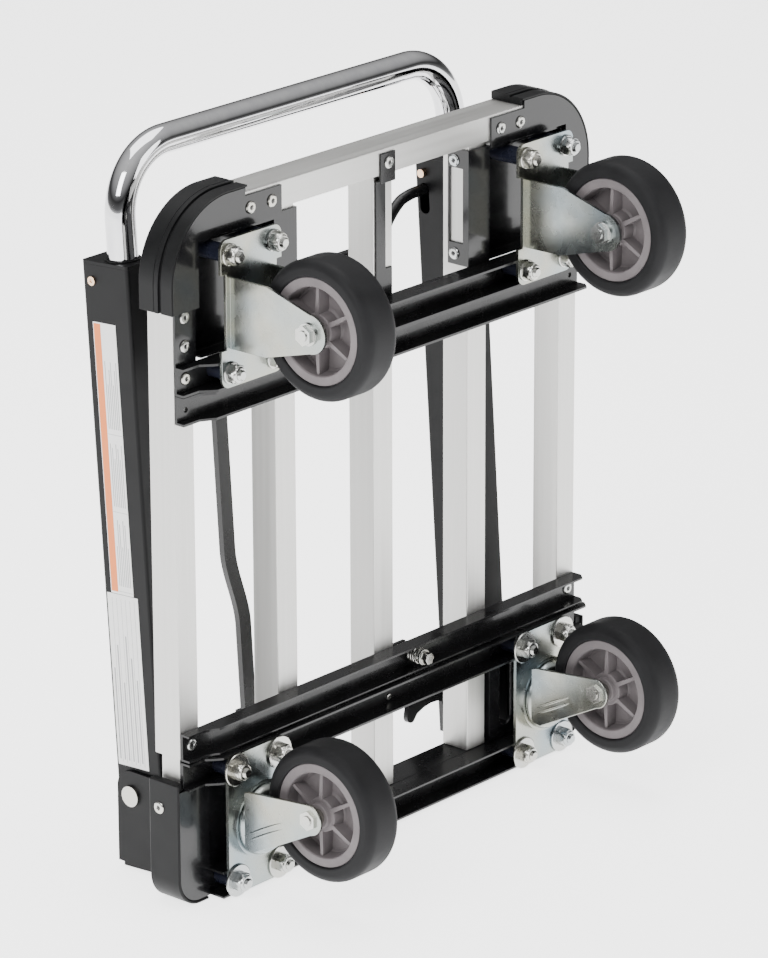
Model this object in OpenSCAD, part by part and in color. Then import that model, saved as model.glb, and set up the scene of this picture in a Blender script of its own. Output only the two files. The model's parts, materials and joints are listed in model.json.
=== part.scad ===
// Folding, extending platform truck: aluminium deck with telescoping side rails, two rigid and
// two swivel casters, and a folding handle whose chrome grip slides out of two square posts.
// It is modelled folded and standing on its pivot end, deck length upward along Z, casters
// toward -Y and the folded handle on +Y.

/* [Deck] */
// Overall width across the outer rails
deck_w = 440; // [400:1:480]
// Height of the deck's free end above the floor, folded and closed
deck_top = 520; // [500:1:560]
// Width of a side rail
rail_w = 20; // [18:1:24]
// Depth of a side rail and of a slat
rail_d = 24.3; // [22:0.1:27]
// Wall thickness of rails and slats
rail_wall = 1.6; // [1.2:0.1:2.2]
// Lower end of the sliding outer rails
outer_rail_end = 114; // [110:1:118]
// Width of a deck slat
slat_w = 21; // [18:1:24]
// Distance from the middle slat to each side slat
slat_pitch = 105; // [95:1:112]
// Height of the aluminium bar across the free end
end_bar_h = 19.3; // [16:0.1:24]
// Depth of the bar across the free end
end_bar_d = 29; // [26:0.5:32]

/* [Channels] */
// Height of each crossmember channel
channel_h = 20.8; // [18:0.1:21]
// Depth of a crossmember channel
channel_d = 17.2; // [14:0.1:18]
// Sheet thickness of the channels
channel_t = 1.8; // [1.5:0.1:2.2]
// Lower edge of the sliding crossmember
sliding_channel_z = 113; // [112.6:0.1:114]
// Lower edge of the fixed crossmember
fixed_channel_z = 91; // [90:0.1:91.5]
// Lower edge of the upper one of the two top crossmembers
top_channel_z = 387; // [386:0.5:390]

/* [Casters] */
// Wheel diameter
wheel_d = 101.6; // [95:0.1:104]
// Tyre width
tyre_w = 32; // [28:1:34]
// Radius of the wheel's rim
rim_r = 38.7; // [36:0.1:40]
// Distance of each caster from the middle of the deck
caster_x = 160; // [155:1:165]
// Distance from the deck's load face to the wheel axles
axle_drop = 116.6; // [114:0.1:120]
// Width of a caster plate
plate_w = 62; // [58:1:64]
// Length of a caster plate
plate_l = 108; // [104:1:110]
// Bolt spacing across a caster plate
bolt_x = 45; // [42:0.5:46]
// Bolt spacing along a caster plate
bolt_z = 86; // [84:0.5:88]
// Height of the rigid caster axles
rigid_z = 442.4; // [440:0.1:445]
// Height of the swivel axes
swivel_z = 57.5; // [57:0.1:59]
// Trail of the swivel casters
trail = 24.7; // [20:0.1:28]

/* [Handle] */
// Width of a handle post
post_w = 28; // [26:0.5:30]
// Depth of a handle post
post_d = 44.8; // [42:0.1:46]
// Outer face of each post from the middle
post_x = 193; // [190:0.5:196]
// Wall thickness of a post
post_wall = 1.5; // [1.2:0.1:2]
// Height of the handle's pivot pins
pivot_z = 59; // [57:0.5:61]
// Distance of the pivot pins behind the deck's load face
pivot_y = 48; // [46:0.5:50]
// Length of a post above its pivot
post_len = 398; // [390:1:404]
// Lean of the folded handle away from the deck
lean = 3.6; // [3:0.01:3.7]
// Diameter of the chrome grip tube
grip_d = 22.2; // [20:0.1:24]
// Distance of each grip leg from the middle
grip_x = 178.1; // [177.9:0.1:180]
// Centreline radius of the grip's bends
grip_bend = 48; // [44:1:55]
// Height of the grip's crossbar centreline above the pivot
grip_top = 478; // [470:1:484]

/* [Hidden] */
$fn = 48;
eps = 0.01;
face_y = 38.9;                      // deck's load face, so that the origin is mid-depth
half_w = deck_w / 2;
rail_in = half_w - rail_w;
back_y = -rail_d;                   // caster side of rails and slats
plate_y = -41.5;                    // plates bear on this plane
plate_t = 2.5;
wheel_r = wheel_d / 2;
end_channel_z = 2.5;
end_channel_x = 194.5;              // half length of the end channel
leg_gap = 39;                       // between the two legs of a caster
leg_t = 2.5;
pin_r = 6;
axle_r = 6;
bolt_r = 4;
end_tube_x = post_x - post_w - 3;    // clear of the posts' tails as they swing
inner_gap = 0.4;                    // slide clearance of the inner rails
rail_top = 477;
end_bar_x = 169;                    // half length of the end bar, inside the bumpers
slat_bottom = 23.8;
post_tail = 57.8;
post_r = 2.5;                       // outer corners of a post
post_front = -28.3;                 // post faces, from the pivot pin
post_back = post_front + post_d;
grip_y = -10.3;                     // grip tube's axis, from the pivot pin
slot_z = 367;                       // middle of the release slot above the pivot
slot_len = 24;
screw_z = slot_z + 20;              // screw that holds each cap's lug
bar_y = 8;                          // release bar, from the pivot pin
bar_low = 343;
latch_x = 28;
latch_z = sliding_channel_z + channel_h / 2;
shaft_y = -8;                       // lock shaft, from the pivot pin
shaft_z = 14;
crank_r = 18.7;                     // crank on the lock shaft
crank_rise = 14;                    // its angle above level while locked
rod_x = -72;
rod_foot_x = -60;

alu = [0.80, 0.80, 0.78];
black = [0.10, 0.10, 0.11];
charcoal = [0.20, 0.20, 0.21];
zinc = [0.72, 0.75, 0.77];
steel = [0.80, 0.80, 0.80];
rubber = [0.17, 0.17, 0.18];
rim_grey = [0.50, 0.48, 0.48];
chrome = [0.88, 0.88, 0.90];

// ---- shared shapes ----

// A box from its low and high corners.
module block(low, high) {
    translate(low) cube([high[0] - low[0], high[1] - low[1], high[2] - low[2]]);
}

// Places children against the deck: y = 0 is the load face.
module on_deck() {
    translate([0, face_y, 0]) children();
}

// Places children on the handle: the pivot pin's axis is the origin, Z runs up the posts.
module on_handle() {
    translate([0, face_y + pivot_y, pivot_z]) rotate([-lean, 0, 0]) children();
}

module mirrored(side) {
    if (side < 0) mirror([1, 0, 0]) children();
    else children();
}

// Plate outline with rounded corners, in X-Y.
module plate_outline(w, l, r) {
    square([w - 2 * r, l], center = true);
    square([w, l - 2 * r], center = true);
    for (i = [-1, 1], k = [-1, 1]) translate([i * (w / 2 - r), k * (l / 2 - r)]) circle(r = r);
}

// Rectangular tube along Z, its outer corners rounded.
module tube_z(x0, x1, y0, y1, z0, z1, wall, r = 1) {
    difference() {
        translate([(x0 + x1) / 2, (y0 + y1) / 2, z0])
            linear_extrude(height = z1 - z0) plate_outline(x1 - x0, y1 - y0, r);
        block([x0 + wall, y0 + wall, z0 - 1], [x1 - wall, y1 - wall, z1 + 1]);
    }
}

// Rectangular tube along X.
module tube_x(x0, x1, y0, y1, z0, z1, wall) {
    difference() {
        block([x0, y0, z0], [x1, y1, z1]);
        block([x0 - 1, y0 + wall, z0 + wall], [x1 + 1, y1 - wall, z1 - wall]);
    }
}

// Material cut from a channel's flanges at its ends: stepped back on the left, chamfered right.
module flange_cuts(half, depth) {
    low = 8.5;
    y = back_y - depth;
    translate([0, y - 1, -1]) linear_extrude(height = channel_h + 2) {
        polygon([[-half - 1, 0], [-half - 1, depth - low + 1], [-half + 16, depth - low + 1],
            [-half + 23, 3.5], [-half + 28, 0]]);
        polygon([[half - 5, 0], [half + 1, 0], [half + 1, 7]]);
    }
}

// C-channel along X, web against the deck and flanges toward the casters.
module channel(z0, depth, half = half_w - 1, stepped = true) {
    front = back_y - depth;
    translate([0, 0, z0]) difference() {
        block([-half, front, 0], [half, back_y - 0.3, channel_h]);
        block([-half - 1, front - 1, channel_t],
            [half + 1, back_y - 0.3 - channel_t, channel_h - channel_t]);
        if (stepped) flange_cuts(half, depth);
    }
}

// Hole along Y through everything between y0 and y1.
module hole_y(x, z, r, y0 = -80, y1 = 80) {
    translate([x, y1, z]) rotate([90, 0, 0]) cylinder(h = y1 - y0, r = r);
}

module disc_y(x, y, z, r, h) {
    translate([x, y, z]) rotate([90, 0, 0]) cylinder(h = h, r = r);
}

module disc_x(x, y, z, r, h) {
    translate([x, y, z]) rotate([0, 90, 0]) cylinder(h = h, r = r);
}

// Hexagon nut or bolt head along -Y.
module hex_y(x, y, z, across, h) {
    translate([x, y, z]) rotate([90, 0, 0]) cylinder(h = h, r = across / sqrt(3), $fn = 6);
}

function plate_bolts(cx, cz) =
    [for (i = [-1, 1], k = [-1, 1]) [cx + i * bolt_x / 2, cz + k * bolt_z / 2]];

// ---- pivot-end frame ----

inner_x0 = rail_in + rail_wall + inner_gap;
inner_x1 = half_w - rail_wall - inner_gap;
inner_y0 = back_y + rail_wall + inner_gap;
inner_y1 = -4.6;

module inner_rails() {
    color(alu) on_deck()
        for (side = [-1, 1]) mirrored(side)
            tube_z(inner_x0, inner_x1, inner_y0, inner_y1, 24, 470, 1.5);
}

module glide_pads() {
    color(black) on_deck()
        for (side = [-1, 1]) mirrored(side)
            for (z = [330, 440])
                block([inner_x0 + 2, inner_y1, z], [inner_x1 - 2, -rail_wall - 0.3, z + 24]);
}

module fixed_crossmember() {
    color(black) on_deck() difference() {
        union() {
            channel(fixed_channel_z, channel_d);
            for (side = [-1, 1]) mirrored(side)
                block([inner_x0, back_y - 0.3 - eps, fixed_channel_z + 3],
                    [inner_x1, inner_y0, fixed_channel_z + channel_h - 1.2]);
        }
        for (b = [each plate_bolts(-caster_x, swivel_z), each plate_bolts(caster_x, swivel_z)])
            hole_y(b[0], b[1], bolt_r + 0.2);
        hole_y(latch_x, fixed_channel_z + channel_h / 2, 3.2);
    }
}

module pivot_end_tube() {
    color(black) on_deck()
        tube_x(-end_tube_x, end_tube_x, back_y - 0.3, 0, 3.6, slat_bottom - 0.3, 1.8);
}

module pivot_end_channel() {
    color(black) on_deck() difference() {
        channel(end_channel_z, channel_d, end_channel_x, false);
        for (b = [each plate_bolts(-caster_x, swivel_z), each plate_bolts(caster_x, swivel_z)])
            hole_y(b[0], b[1], bolt_r + 0.2);
    }
}

// Quarter-round corner outline in X-Z: its corner is up and outward, its two limbs run back.
module corner_outline(outer_x, corner_z, radius, inner_x, low_z) {
    cx = outer_x - radius;
    cz = corner_z - radius;
    translate([inner_x, low_z]) square([cx - inner_x, corner_z - low_z]);
    translate([cx - eps, low_z]) square([radius + eps, cz - low_z]);
    translate([cx, cz]) intersection() {
        circle(r = radius, $fn = 96);
        translate([-eps, -eps]) square([radius + 1, radius + 1]);
    }
}

// Band that follows the outside of a corner outline.
module corner_band(outer_x, corner_z, radius, limb_end, foot_end, wall) {
    difference() {
        corner_outline(outer_x, corner_z, radius, foot_end, limb_end);
        corner_outline(outer_x - wall, corner_z - wall, radius - wall, foot_end - 1, limb_end - 1);
    }
}

// Extrudes an X-Z outline from y0 back toward the casters.
module toward_casters(y0, depth) {
    translate([0, y0, 0]) rotate([90, 0, 0]) linear_extrude(height = depth) children();
}

guard_x = half_w + 7.5;
guard_wall = guard_x - half_w - 0.4;
guard_lip = 2.2;
cover_r = 22;
cover_top = 97;
foot_x = 196.3;

// Pressed housing that ties an inner rail, the end channel and the fixed crossmember together.
module lower_corner(side) {
    wall_x = slat_pitch + slat_w / 2 + 3;
    plate_front = back_y - 2.4;
    color(black) on_deck() mirrored(side) difference() {
        union() {
            translate([0, 0, cover_top]) mirror([0, 0, 1]) toward_casters(plate_front, 1.5)
                corner_outline(guard_x - guard_lip - 0.3, cover_top - guard_lip - 0.3, cover_r - guard_lip,
                    end_channel_x + 0.3, cover_top - fixed_channel_z + 0.2);
            block([wall_x, back_y - 1.8, end_channel_z + channel_h + 0.2],
                [end_channel_x + 1, back_y - 0.3, fixed_channel_z - 0.2]);
            block([end_channel_x, plate_front - 1, end_channel_z + channel_h + 0.2],
                [end_channel_x + 1.5, back_y - 0.3, fixed_channel_z - 0.2]);
            block([wall_x, back_y - 1.8, end_channel_z + channel_h + 0.2],
                [wall_x + 1.5, -2, fixed_channel_z - 0.2]);
            block([inner_x0, plate_front - eps, 26], [inner_x1, inner_y0, fixed_channel_z - 2]);
        }
        translate([wall_x + 12, back_y, 34]) rotate([90, 0, 0])
            linear_extrude(height = 8, center = true) {
                translate([0, 6]) square([14, 40]);
                translate([7, 6]) circle(r = 7);
                translate([7, 46]) circle(r = 7);
            }
    }
}

// Corner guard low on the frame: a band round the rail's end with a lip round its front.
module lower_cover(side) {
    color(charcoal) on_deck() mirrored(side) translate([0, 0, cover_top]) mirror([0, 0, 1]) {
        toward_casters(-0.4, -back_y + 1.9)
            corner_band(guard_x, cover_top, cover_r, 0, foot_x, guard_wall);
        toward_casters(back_y - 2.3 + eps, 2.4)
            corner_band(guard_x, cover_top, cover_r, 0, foot_x, guard_lip);
    }
}

// Side plates that carry the handle's pivot pins, with a foot on the pivot-end tube.
module pivot_brackets() {
    x0 = post_x + 0.4;
    color(charcoal) on_deck() for (side = [-1, 1]) mirrored(side) difference() {
        union() {
            block([x0, -2, 5], [x0 + 2.6, pivot_y, 78]);
            block([x0, pivot_y - eps, 5], [x0 + 2.6, pivot_y + 14, pivot_z + 5]);
            disc_x(x0, pivot_y, pivot_z + 5, 14, 2.6);
            block([x0, back_y + 4, 26], [inner_x0, -2 + eps, 78]);
        }
        disc_x(x0 - 5, pivot_y, pivot_z, pin_r + 0.05, 15);
    }
}

module pivot_pins() {
    color(steel) on_deck() for (side = [-1, 1]) mirrored(side) {
        disc_x(post_x - post_w - 3, pivot_y, pivot_z, pin_r, post_w + 6.4);
        disc_x(post_x + 3, pivot_y, pivot_z, 8, 2.2);
        disc_x(post_x - post_w - 3, pivot_y, pivot_z, 8, 2);
    }
}

module caster_plate(cx, cz) {
    difference() {
        translate([cx, plate_y, cz]) rotate([90, 0, 0])
            linear_extrude(height = plate_t) plate_outline(plate_w, plate_l, 7);
        for (b = plate_bolts(cx, cz)) hole_y(b[0], b[1], bolt_r + 0.2);
    }
}

module swivel_plate(side) {
    color(zinc) on_deck() {
        difference() {
            union() {
                caster_plate(side * caster_x, swivel_z);
                disc_y(side * caster_x, plate_y - plate_t + eps, swivel_z, 29, 5.5);
            }
            hole_y(side * caster_x, swivel_z, 6);
            translate([side * caster_x, plate_y - plate_t - 1.5, swivel_z]) rotate([90, 0, 0])
                difference() {
                    cylinder(h = 8, r = 26.5);
                    translate([0, 0, -1]) cylinder(h = 10, r = 11);
                }
        }
        disc_y(side * caster_x, plate_y + 5, swivel_z, 9, 5);
        disc_y(side * caster_x, plate_y + 4, swivel_z, 5.95, 26);
        disc_y(side * caster_x, -57.3, swivel_z, 10, 3.5);
    }
}

// Bolts through a caster plate: stud, nut on the front, head behind.
module plate_fasteners(cx, cz, washer_r, tail_y, head) {
    for (b = plate_bolts(cx, cz)) {
        disc_y(b[0], tail_y, b[1], bolt_r, tail_y - plate_y + plate_t + 12);
        disc_y(b[0], plate_y - plate_t, b[1], washer_r, 1.8);
        hex_y(b[0], plate_y - plate_t - 1.8 + eps, b[1], 13, 7);
        if (head) hex_y(b[0], tail_y + 5, b[1], 13, 5 + eps);
    }
}

module swivel_bolts() {
    color(steel) on_deck() for (side = [-1, 1])
        plate_fasteners(side * caster_x, swivel_z, 12.3, back_y - 2.1, false);
}

// Countersunk rivet head facing the casters.
module rivet_y(x, y, z, r = 4.6) {
    difference() {
        disc_y(x, y, z, r, 1.4);
        disc_y(x, y - 0.5, z, 1.6, 2);
    }
}

module base_rivets() {
    color(steel) on_deck() {
        for (side = [-1, 1]) {
            mirrored(side) translate([guard_x, back_y + 14, 76]) rotate([0, 90, 0])
                difference() {
                    cylinder(h = 1.2, r = 4.6);
                    translate([0, 0, 0.5]) cylinder(h = 2, r = 1.6);
                }
        }
        rivet_y(2, back_y - 2.1, 96.5, 2.6);
    }
}

// ---- sliding deck ----

module outer_rail(side) {
    color(alu) on_deck() mirrored(side)
        tube_z(rail_in, half_w, back_y, 0, outer_rail_end, rail_top, rail_wall);
}

module deck_slats() {
    color(alu) on_deck() for (i = [-1 : 1])
        tube_z(i * slat_pitch - slat_w / 2, i * slat_pitch + slat_w / 2, back_y, 0,
            slat_bottom, deck_top - end_bar_h, rail_wall);
}

module end_bar() {
    color(alu) on_deck()
        tube_x(-end_bar_x, end_bar_x, -end_bar_d, 0, deck_top - end_bar_h, deck_top, 1.6);
}

module top_crossmember_upper() {
    color(black) on_deck() difference() {
        channel(top_channel_z, channel_d);
        for (b = [each plate_bolts(-caster_x, rigid_z), each plate_bolts(caster_x, rigid_z)])
            hole_y(b[0], b[1], bolt_r + 0.2);
    }
}

module top_crossmember_lower() {
    color(black) on_deck() difference() {
        channel(top_channel_z - channel_h - 0.4, channel_d - 2.2);
        for (side = [-1, 1]) hole_y(side * (half_w - 10), top_channel_z - 12, 2);
    }
}

module sliding_crossmember() {
    color(black) on_deck() difference() {
        channel(sliding_channel_z, channel_d - 3.6);
        hole_y(latch_x, latch_z, bolt_r + 0.06);
    }
}

pan_y = -12;
pan_x0 = slat_pitch + slat_w / 2;
pan_x1 = rail_in;
corner_r = 60;
bumper_z = deck_top + 6.3;
bumper_limb = 447.6;
bumper_foot = 149;
bar_low_z = deck_top - end_bar_h;

// Outline of the pressed corner housing, from the slat out to the bumper, in X-Z.
module housing_outline() {
    z0 = top_channel_z + channel_h + 0.1;
    inset = guard_lip + 0.3;
    corner_outline(guard_x - inset, bumper_z - inset, corner_r - inset, bumper_foot + 2, bumper_limb);
    translate([pan_x0 - 22.5, z0])
        square([half_w - 0.5 - pan_x0 + 22.5, bumper_z - corner_r - z0]);
    translate([pan_x0 - 22.5, z0]) square([rail_in + 1 - pan_x0 + 22.5, bar_low_z - z0]);
    translate([pan_x0 - 2, bar_low_z - 1]) square([60, end_bar_h - 1]);
}

// Pressed housing at a free-end corner: flanges over the rail, end bar and slat, and a pan.
module upper_corner(side) {
    lip_y = back_y - 0.3;
    front_y = -end_bar_d - 0.1;
    z0 = top_channel_z + channel_h + 0.1;
    pan_top = bar_low_z - 7;
    step_z = bar_low_z - 5;
    color(black) on_deck() mirrored(side)
        difference() {
            union() {
                toward_casters(lip_y, 1.5) difference() {
                    housing_outline();
                    translate([pan_x0 + 1.5, z0 - 1]) square([pan_x1 - pan_x0 - 3, pan_top - z0]);
                    translate([pan_x0 - 30, step_z + 1]) square([120, 40]);
                    translate([pan_x1 + 0.5, bumper_limb]) square([60, 100]);
                }
                toward_casters(front_y, 1.5) intersection() {
                    housing_outline();
                    union() {
                        translate([pan_x0 - 2, step_z]) square([120, 40]);
                        translate([pan_x1 - 1, bumper_limb]) square([40, 80]);
                    }
                }
                // steps between the two levels
                block([pan_x0 - 2, front_y - 1.5, step_z], [half_w - 10, lip_y, step_z + 1.5]);
                block([pan_x1 - 1, front_y - 1.5, bumper_limb], [pan_x1 + 0.5, lip_y, step_z + 1]);
                block([pan_x1 - 1, front_y - 1.5, bumper_limb], [half_w - 0.5, lip_y, bumper_limb + 1.5]);
                // pan walls and floor
                block([pan_x0 + 0.1, lip_y - 1.5, z0], [pan_x0 + 1.6, pan_y, pan_top]);
                block([pan_x1 - 1.6, lip_y - 1.5, z0], [pan_x1 - 0.1, pan_y, pan_top]);
                block([pan_x0 + 0.1, pan_y - 1.5, z0], [pan_x1 - 0.1, pan_y, pan_top]);
                block([pan_x0 + 0.1, lip_y - 1.5, pan_top - 1.5], [pan_x1 - 0.1, pan_y, pan_top]);
                block([pan_x0 + 0.1, lip_y, z0], [pan_x1 - 8, pan_y, z0 + 1.5]);
                // flange on the slat's inner side
                block([pan_x0 - slat_w - 1.5, lip_y - 1.5, z0],
                    [pan_x0 - slat_w, -6, bar_low_z - 4]);
            }
            block([pan_x0 - slat_w - 3, -20.5, z0 + 17], [pan_x0 - slat_w + 0.5, -7.5, z0 + 74]);
            for (b = plate_bolts(caster_x, rigid_z)) hole_y(b[0], b[1], bolt_r + 0.2);
        }
}

module bumper(side) {
    wall = guard_wall - 1;
    front = -end_bar_d;
    step = 0.7;
    color(charcoal) on_deck() mirrored(side) difference() {
        union() {
            toward_casters(0, 20)
                corner_band(guard_x, bumper_z, corner_r, bumper_limb, bumper_foot, wall);
            toward_casters(-20 + eps, -front - 20)
                corner_band(guard_x - step, bumper_z - step, corner_r - step, bumper_limb, bumper_foot,
                    wall - step);
            toward_casters(front + eps, 1.7)
                corner_band(guard_x - step, bumper_z - step, corner_r - step, bumper_limb, bumper_foot,
                    guard_lip - step);
        }
        toward_casters(-13.6, 0.8)
            corner_band(guard_x + 1, bumper_z + 1, corner_r + 1, bumper_limb - 1, bumper_foot - 1, 1.5);
        toward_casters(-18, 2)
            corner_band(guard_x + 1, bumper_z + 1, corner_r + 1, bumper_limb - 1, bumper_foot - 1, 3);
    }
}

module slat_bracket() {
    top = deck_top - 3;
    low = deck_top - end_bar_h;
    color(black) on_deck() {
        block([-8.5, -end_bar_d - 1.4, low - 6], [7.5, -end_bar_d, top]);
        block([-8.5, -end_bar_d - 1.4, low - 6], [2, back_y, low - 4.6]);
        block([-8.5, back_y - 1.4, low - 72], [2, back_y, low - 4.6]);
        block([-8.5, back_y - 1.4, top_channel_z + channel_h + 0.2],
            [9, back_y, low - 71.9]);
    }
}

// Leg of a caster in the Y-Z plane, from the plate out to a round boss at the axle.
module rigid_leg() {
    reach = axle_drop + plate_y;
    polygon([[0, -26], [-reach * 0.45, -25.5], [-reach, -14.2], [-reach, 14.2],
        [-reach * 0.47, 26], [0, 26]]);
    translate([-reach, 0]) circle(r = 14.2);
}

module rigid_caster(side) {
    cx = side * caster_x;
    color(zinc) on_deck() {
        difference() {
            caster_plate(cx, rigid_z);
            // the legs are bent out of the plate's sides
            for (i = [-1, 1])
                block([min(cx + i * 26, cx + i * 40), plate_y - 5, rigid_z - 26],
                    [max(cx + i * 26, cx + i * 40), plate_y + 1, rigid_z + 29]);
        }
        for (i = [-1, 1])
            difference() {
                translate([cx + i * (leg_gap / 2 + leg_t / 2) - leg_t / 2, plate_y - plate_t / 2, rigid_z])
                    rotate([90, 0, 90]) linear_extrude(height = leg_t) rigid_leg();
                disc_x(cx - 40, -axle_drop, rigid_z, bolt_r + 0.03, 80);
            }
    }
}

module caster_spacers() {
    color([0.16, 0.17, 0.24]) on_deck() for (side = [-1, 1], i = [-1, 1])
        difference() {
            disc_y(side * caster_x + i * bolt_x / 2, pan_y - 1.5, rigid_z + bolt_z / 2, 6.5,
                pan_y - 1.5 - plate_y);
            hole_y(side * caster_x + i * bolt_x / 2, rigid_z + bolt_z / 2, bolt_r + 0.2);
        }
    color([0.16, 0.17, 0.24]) on_deck() for (side = [-1, 1], i = [-1, 1])
        sleeve([side * caster_x + i * bolt_x / 2, rigid_z - bolt_z / 2]);
}

// Sleeve round a plate bolt, between a channel's web and the caster plate.
module sleeve(b) {
    difference() {
        disc_y(b[0], back_y - 2.2, b[1], 6.5, back_y - 2.2 - plate_y);
        hole_y(b[0], b[1], bolt_r + 0.2);
    }
}

module swivel_spacers() {
    color([0.16, 0.17, 0.24]) on_deck() for (side = [-1, 1])
        for (b = plate_bolts(side * caster_x, swivel_z)) sleeve(b);
}

module rigid_bolts() {
    color(steel) on_deck() for (side = [-1, 1]) {
        for (b = plate_bolts(side * caster_x, rigid_z)) {
            tail = b[1] > rigid_z ? pan_y : back_y - 2.1;
            disc_y(b[0], tail, b[1], bolt_r, tail - plate_y + plate_t + 12);
            disc_y(b[0], plate_y - plate_t, b[1], 8, 1.8);
            hex_y(b[0], plate_y - plate_t - 1.8 + eps, b[1], 13, 7);
        }
    }
}

module deck_rivets() {
    rail_x = half_w - rail_w / 2;
    color(steel) on_deck() {
        for (side = [-1, 1]) {
            for (z = [442.5, 421.5])
                rivet_y(side * rail_x, back_y - 1.8, z);
            rivet_y(side * rail_x, back_y - 2.1, top_channel_z + 11);
            rivet_y(side * rail_x, back_y - 2.1, sliding_channel_z + channel_h / 2);
            for (x = [146, 124]) rivet_y(side * x, -end_bar_d - 1.6, deck_top - 11.5);
            for (z = [416.5, 487.5])
                mirrored(side) translate([pan_x0 - slat_w - 1.5, -12.5, z]) rotate([0, -90, 0])
                    difference() {
                        cylinder(h = 1.4, r = 4.6);
                        translate([0, 0, 0.5]) cylinder(h = 2, r = 1.6);
                    }
        }
        rivet_y(0, -end_bar_d - 1.4, deck_top - 10.5);
    }
}

// Axle: a bush between the legs, a bolt through them, a head and a nut outside.
module axle(cx, z) {
    half = leg_gap / 2;
    disc_x(cx - half, -axle_drop, z, axle_r, leg_gap);
    disc_x(cx - half - leg_t - 7, -axle_drop, z, bolt_r, leg_gap + 2 * leg_t + 14);
    for (i = [-1, 1])
        translate([cx + i * (half + leg_t + 3), -axle_drop, z]) rotate([0, 90, 0]) {
            cylinder(h = 6, r = 13 / sqrt(3), center = true, $fn = 6);
            translate([0, 0, -i * 2.2]) cylinder(h = 1.6, r = 8.2, center = true);
        }
}

module rigid_axles() {
    color(steel) on_deck() for (side = [-1, 1]) axle(side * caster_x, rigid_z);
}

// ---- handle ----

module post(side) {
    x0 = post_x - post_w;
    color(black) on_handle() mirrored(side) difference() {
        tube_z(x0, post_x, post_front, post_back, -post_tail, post_len, post_wall, post_r);
        disc_x(x0 - 5, 0, 0, pin_r + 0.05, post_w + 10);
        // release slot in the inner wall
        translate([x0 - 2, bar_y, slot_z]) rotate([0, 90, 0]) linear_extrude(height = 5) {
            square([slot_len - 9.4, 9.4], center = true);
            for (k = [-1, 1]) translate([k * (slot_len / 2 - 4.7), 0]) circle(r = 4.7);
        }
        disc_x(x0 - 2, shaft_y, shaft_z, 5.1, 5);
        disc_x(x0 - 2, bar_y, screw_z, 2.1, 5);
    }
}

module post_caps() {
    x0 = post_x - post_w;
    color(black) on_handle() for (side = [-1, 1]) mirrored(side) difference() {
        union() {
            translate([post_x - post_w / 2, (post_front + post_back) / 2, post_len])
                linear_extrude(height = 2.5) plate_outline(post_w, post_d, post_r);
            block([x0 + 1.7, 3, post_len - 14], [post_x - 1.7, post_back - 1.7, post_len + eps]);
            translate([grip_x, grip_y, post_len]) cylinder(h = 3.8, r = 13);
        }
        translate([grip_x, grip_y, post_len - 20]) cylinder(h = 40, r = grip_d / 2 + 0.3);
        disc_x(x0 - 2, bar_y, screw_z, 2.1, 8);
    }
}

module post_screws() {
    color([0.75, 0.62, 0.35]) on_handle() for (side = [-1, 1]) mirrored(side) {
        translate([post_x, post_back - 9.5, post_len - 12]) rotate([0, 90, 0]) difference() {
            cylinder(h = 1.4, r = 3.4);
            translate([0, 0, 0.5]) cylinder(h = 2, r = 1.5, $fn = 6);
        }
        translate([post_x - post_w - 3.4, bar_y, screw_z]) rotate([0, 90, 0]) {
            cylinder(h = 3.4, r = 3.3);
            cylinder(h = 8, r = 2);
        }
    }
}

// Printed panels on the outer face of the left post.
module label_panels() {
    t = 0.3;
    x = -post_x - t;
    color([0.93, 0.93, 0.92]) on_handle() {
        block([x, -13.1, 153.6], [x + t, 9.1, 356]);
        block([x, -17, 21.5], [x + t, 13.5, 153.2]);
    }
}

module ring_piece(h) {
    difference() {
        cylinder(h = h, r = grip_d / 2);
        translate([0, 0, -1]) cylinder(h = h + 2, r = grip_d / 2 - 1.5);
    }
}

module grip_tube() {
    bend_z = grip_top - grip_bend;
    low = 28;
    color(chrome) on_handle() translate([0, grip_y, 0]) {
        for (side = [-1, 1]) mirrored(side) {
            translate([grip_x, 0, low]) ring_piece(bend_z - low);
            translate([grip_x - grip_bend, 0, bend_z]) rotate([90, 0, 0])
                rotate_extrude(angle = 90, $fn = 96) translate([grip_bend, 0])
                    difference() {
                        circle(r = grip_d / 2);
                        circle(r = grip_d / 2 - 1.5);
                    }
        }
        translate([-(grip_x - grip_bend), 0, grip_top]) rotate([0, 90, 0])
            ring_piece(2 * (grip_x - grip_bend));
    }
}

// Round bar between two points on the handle, in the plane y = bar_y.
module bar_piece(a, b, r) {
    d = b - a;
    translate([a[0], bar_y, a[1]]) rotate([0, atan2(d[0], d[1]), 0]) cylinder(h = norm(d), r = r);
    translate([b[0], bar_y, b[1]]) sphere(r = r + 0.12);
}

bar_r = 4.3;
bar_in_x = post_x - post_w + 3;
bar_rest = slot_z + slot_len / 2 - bar_r - 0.5;
bar_path = [[bar_in_x, bar_rest], [145, bar_rest], [131, bar_rest - 6], [113, bar_low + 5.5], [97, bar_low]];

module release_bar() {
    last = len(bar_path) - 1;
    color(black) on_handle() {
        for (side = [-1, 1]) mirrored(side)
            for (i = [0 : last - 1]) bar_piece(bar_path[i], bar_path[i + 1], bar_r);
        translate([-bar_path[last][0], bar_y, bar_low]) rotate([0, 90, 0])
            cylinder(h = 2 * bar_path[last][0], r = bar_r);
    }
}

crank_pin_y = shaft_y + crank_r * cos(crank_rise);
crank_pin_z = shaft_z + crank_r * sin(crank_rise);

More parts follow.
